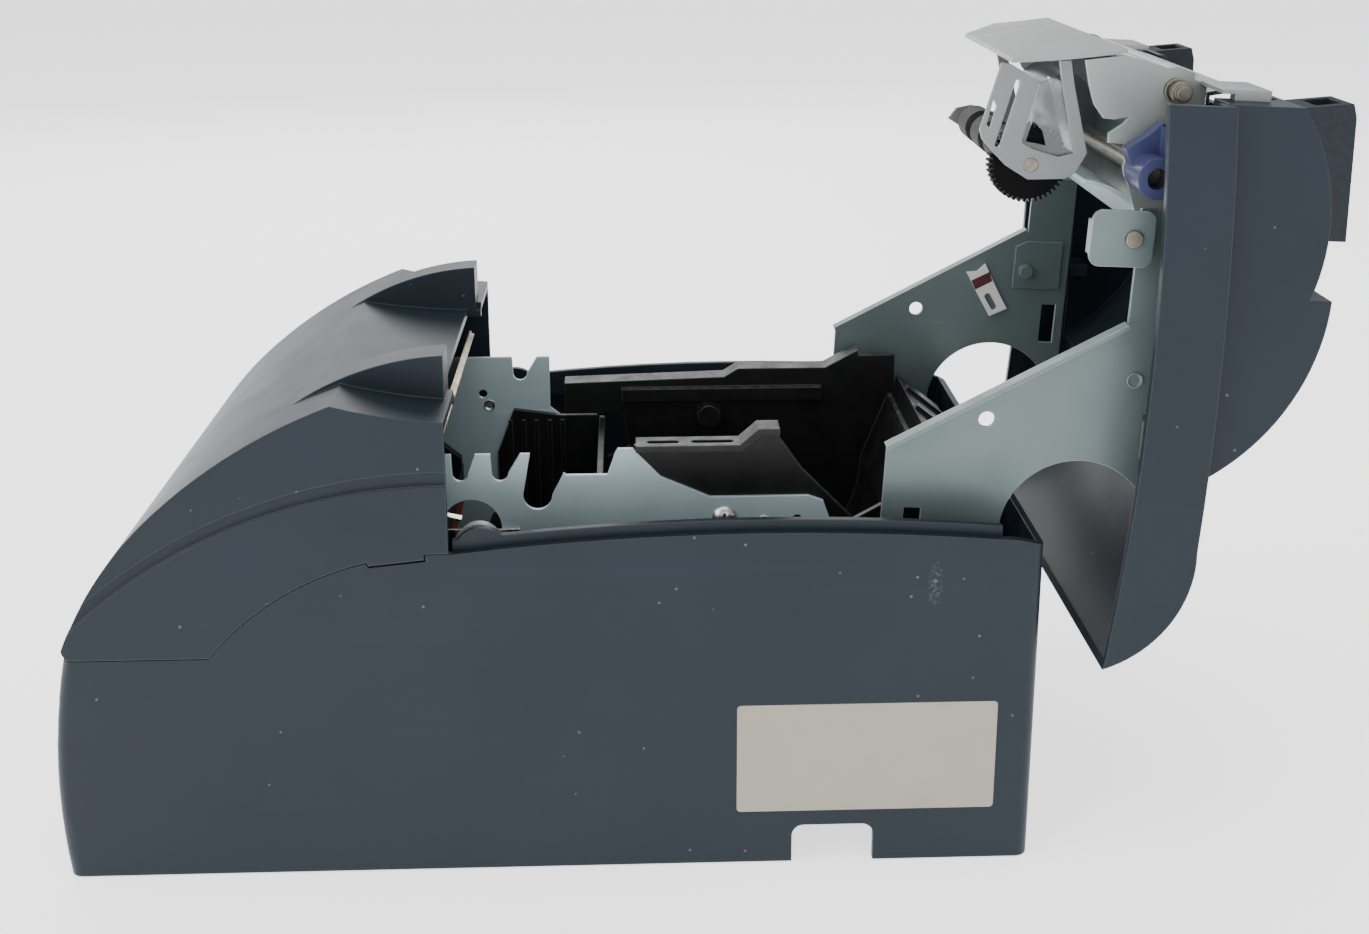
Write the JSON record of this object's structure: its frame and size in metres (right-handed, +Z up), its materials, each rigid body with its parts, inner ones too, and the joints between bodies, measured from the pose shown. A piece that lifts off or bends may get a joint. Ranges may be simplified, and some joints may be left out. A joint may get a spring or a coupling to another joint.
{
  "type": "receipt printer",
  "caption": "Desktop impact receipt printer with its roll cover swung open, a hinged front cover, paper well, cutter unit and print carriage inside.",
  "frame": {"origin": "middle of the case's flat underside, on the table", "axes": "+Y runs from the front to the rear, +Z is up, +X is the side that faces the camera in the picture"},
  "size_m": [0.16, 0.3641, 0.2351],
  "materials": {
    "case_plastic": "satin moulded slate grey-blue plastic",
    "black_plastic": "dull black moulded plastic",
    "grip_plastic": "rough grey textured plastic",
    "zinc_sheet": "pale blue-grey zinc-plated sheet steel",
    "bright_steel": "ground bright steel",
    "screw_zinc": "zinc-plated screw steel",
    "grey_paint": "light grey satin painted sheet",
    "blade_steel": "blade steel with light handling grime",
    "blue_lever": "violet-blue moulded plastic",
    "clear_plastic": "clear moulded plastic",
    "gear_plastic": "black nylon",
    "light_plastic": "light grey moulded plastic",
    "rubber_black": "black rubber",
    "belt_rubber": "toothed belt rubber",
    "motor_metal": "dark plated motor can",
    "head_metal": "dark cast finned metal",
    "board_green": "green lacquered circuit board",
    "ribbon_fabric": "inked woven ribbon",
    "lens_plastic": "tinted clear plastic",
    "white_plastic": "white moulded plastic",
    "button_plastic": "light grey button plastic"
  },
  "bodies": {
    "base": {"lower_case": "case_plastic", "rubber_feet": "rubber_black", "cover_hinge_pins": "bright_steel", "front_cover_pins": "bright_steel", "side_plate_right": "zinc_sheet", "side_plate_left": "zinc_sheet", "frame_screws": "screw_zinc", "chassis_floor": "zinc_sheet", "roll_paper_holder": "black_plastic", "paper_guide": "black_plastic", "guide_shaft": "bright_steel", "belt_bracket": "zinc_sheet", "carriage_motor": "motor_metal", "timing_belt": "belt_rubber", "ribbon_cassette": "black_plastic", "ink_ribbon": "ribbon_fabric", "fixed_blade": "blade_steel", "drum_lever": "bright_steel", "main_board": "board_green", "connector_shells": "bright_steel", "panel_board": "board_green", "status_lenses": "lens_plastic", "power_switch": "black_plastic", "feed_motor": "motor_metal"},
    "front_cover": {"front_cover": "case_plastic"},
    "carriage": {"carriage": "black_plastic", "print_head": "head_metal"},
    "motor_pulley": {"motor_pulley": "gear_plastic"},
    "idler_pulley": {"idler_pulley": "gear_plastic"},
    "drum_wheel": {"drum_wheel": "light_plastic"},
    "feed_button": {"feed_button": "button_plastic"},
    "power_rocker": {"power_rocker": "button_plastic"},
    "feed_pinion": {"feed_pinion": "gear_plastic"},
    "roll_cover": {"roll_cover_shell": "case_plastic", "cover_grips": "grip_plastic", "cover_arm_right": "zinc_sheet", "cover_arm_left": "zinc_sheet", "latch_brackets": "grey_paint", "latch_pins": "bright_steel", "top_plate": "grey_paint", "cutter_cheek_right": "grey_paint", "cutter_cheek_left": "grey_paint", "lock_shaft": "bright_steel", "platen_plate": "grey_paint", "end_plates": "grey_paint", "clear_guide": "clear_plastic", "drive_shaft": "bright_steel", "cutter_base": "zinc_sheet", "tear_bar": "bright_steel", "exit_guide": "grey_paint", "arm_clip": "white_plastic", "arm_patch": "zinc_sheet", "cutter_motor": "motor_metal", "paper_chute": "zinc_sheet", "exit_brackets": "grey_paint"},
    "feed_roller": {"feed_shaft": "bright_steel", "feed_rollers": "rubber_black", "feed_gear": "gear_plastic"},
    "release_lever": {"release_lever": "blue_lever"},
    "moving_blade": {"moving_blade": "bright_steel"}
  },
  "joints": [
    {"name": "roll_cover_hinge", "type": "hinge", "parent": "base", "child": "roll_cover", "pos_m": [0, 0.131, 0.0704], "axis": [1, 0, 0], "range_deg": [0, 92.8]},
    {"name": "front_cover_hinge", "type": "hinge", "parent": "base", "child": "front_cover", "pos_m": [0, -0.132, 0.0725], "axis": [1, 0, 0], "range_deg": [0, 90]},
    {"name": "carriage_slide", "type": "slide", "parent": "base", "child": "carriage", "axis": [1, 0, 0], "range_m": [-0.028, 0.028]},
    {"name": "motor_pulley_spin", "type": "hinge", "parent": "base", "child": "motor_pulley", "pos_m": [-0.036, -0.077, 0.057], "axis": [0, 0, 1], "range_deg": [-280, 280]},
    {"name": "idler_pulley_spin", "type": "hinge", "parent": "base", "child": "idler_pulley", "pos_m": [0.036, -0.077, 0.057], "axis": [0, 0, 1], "range_deg": [-280, 280]},
    {"name": "drum_spin", "type": "hinge", "parent": "base", "child": "drum_wheel", "pos_m": [0.0532, -0.019, 0.092], "axis": [1, 0, 0], "continuous": true},
    {"name": "feed_button_press", "type": "slide", "parent": "base", "child": "feed_button", "axis": [0, 1, 0], "range_m": [0, 0.0009], "stiffness_N_per_m": 300},
    {"name": "power_rocker_tilt", "type": "hinge", "parent": "base", "child": "power_rocker", "pos_m": [-0.052, -0.134, 0.044], "axis": [1, 0, 0], "range_deg": [-12, 0]},
    {"name": "feed_pinion_spin", "type": "hinge", "parent": "base", "child": "feed_pinion", "pos_m": [0.0389, -0.001, 0.0586], "axis": [1, 0, 0], "continuous": true},
    {"name": "feed_roller_spin", "type": "hinge", "parent": "roll_cover", "child": "feed_roller", "pos_m": [0, 0.14144, 0.20205], "axis": [1, 0, 0], "continuous": true},
    {"name": "release_lever_turn", "type": "hinge", "parent": "roll_cover", "child": "release_lever", "pos_m": [0.0552, 0.17244, 0.20123], "axis": [-1, 0, 0], "range_deg": [0, 20]},
    {"name": "moving_blade_slide", "type": "slide", "parent": "roll_cover", "child": "moving_blade", "axis": [0, 0.0489, 0.9988], "range_m": [0, 0.006]}
  ],
  "couplings": [
    {"joint": "motor_pulley_spin", "follows": "carriage_slide", "rad_per_m": 166.67},
    {"joint": "idler_pulley_spin", "follows": "carriage_slide", "rad_per_m": 166.67}
  ]
}
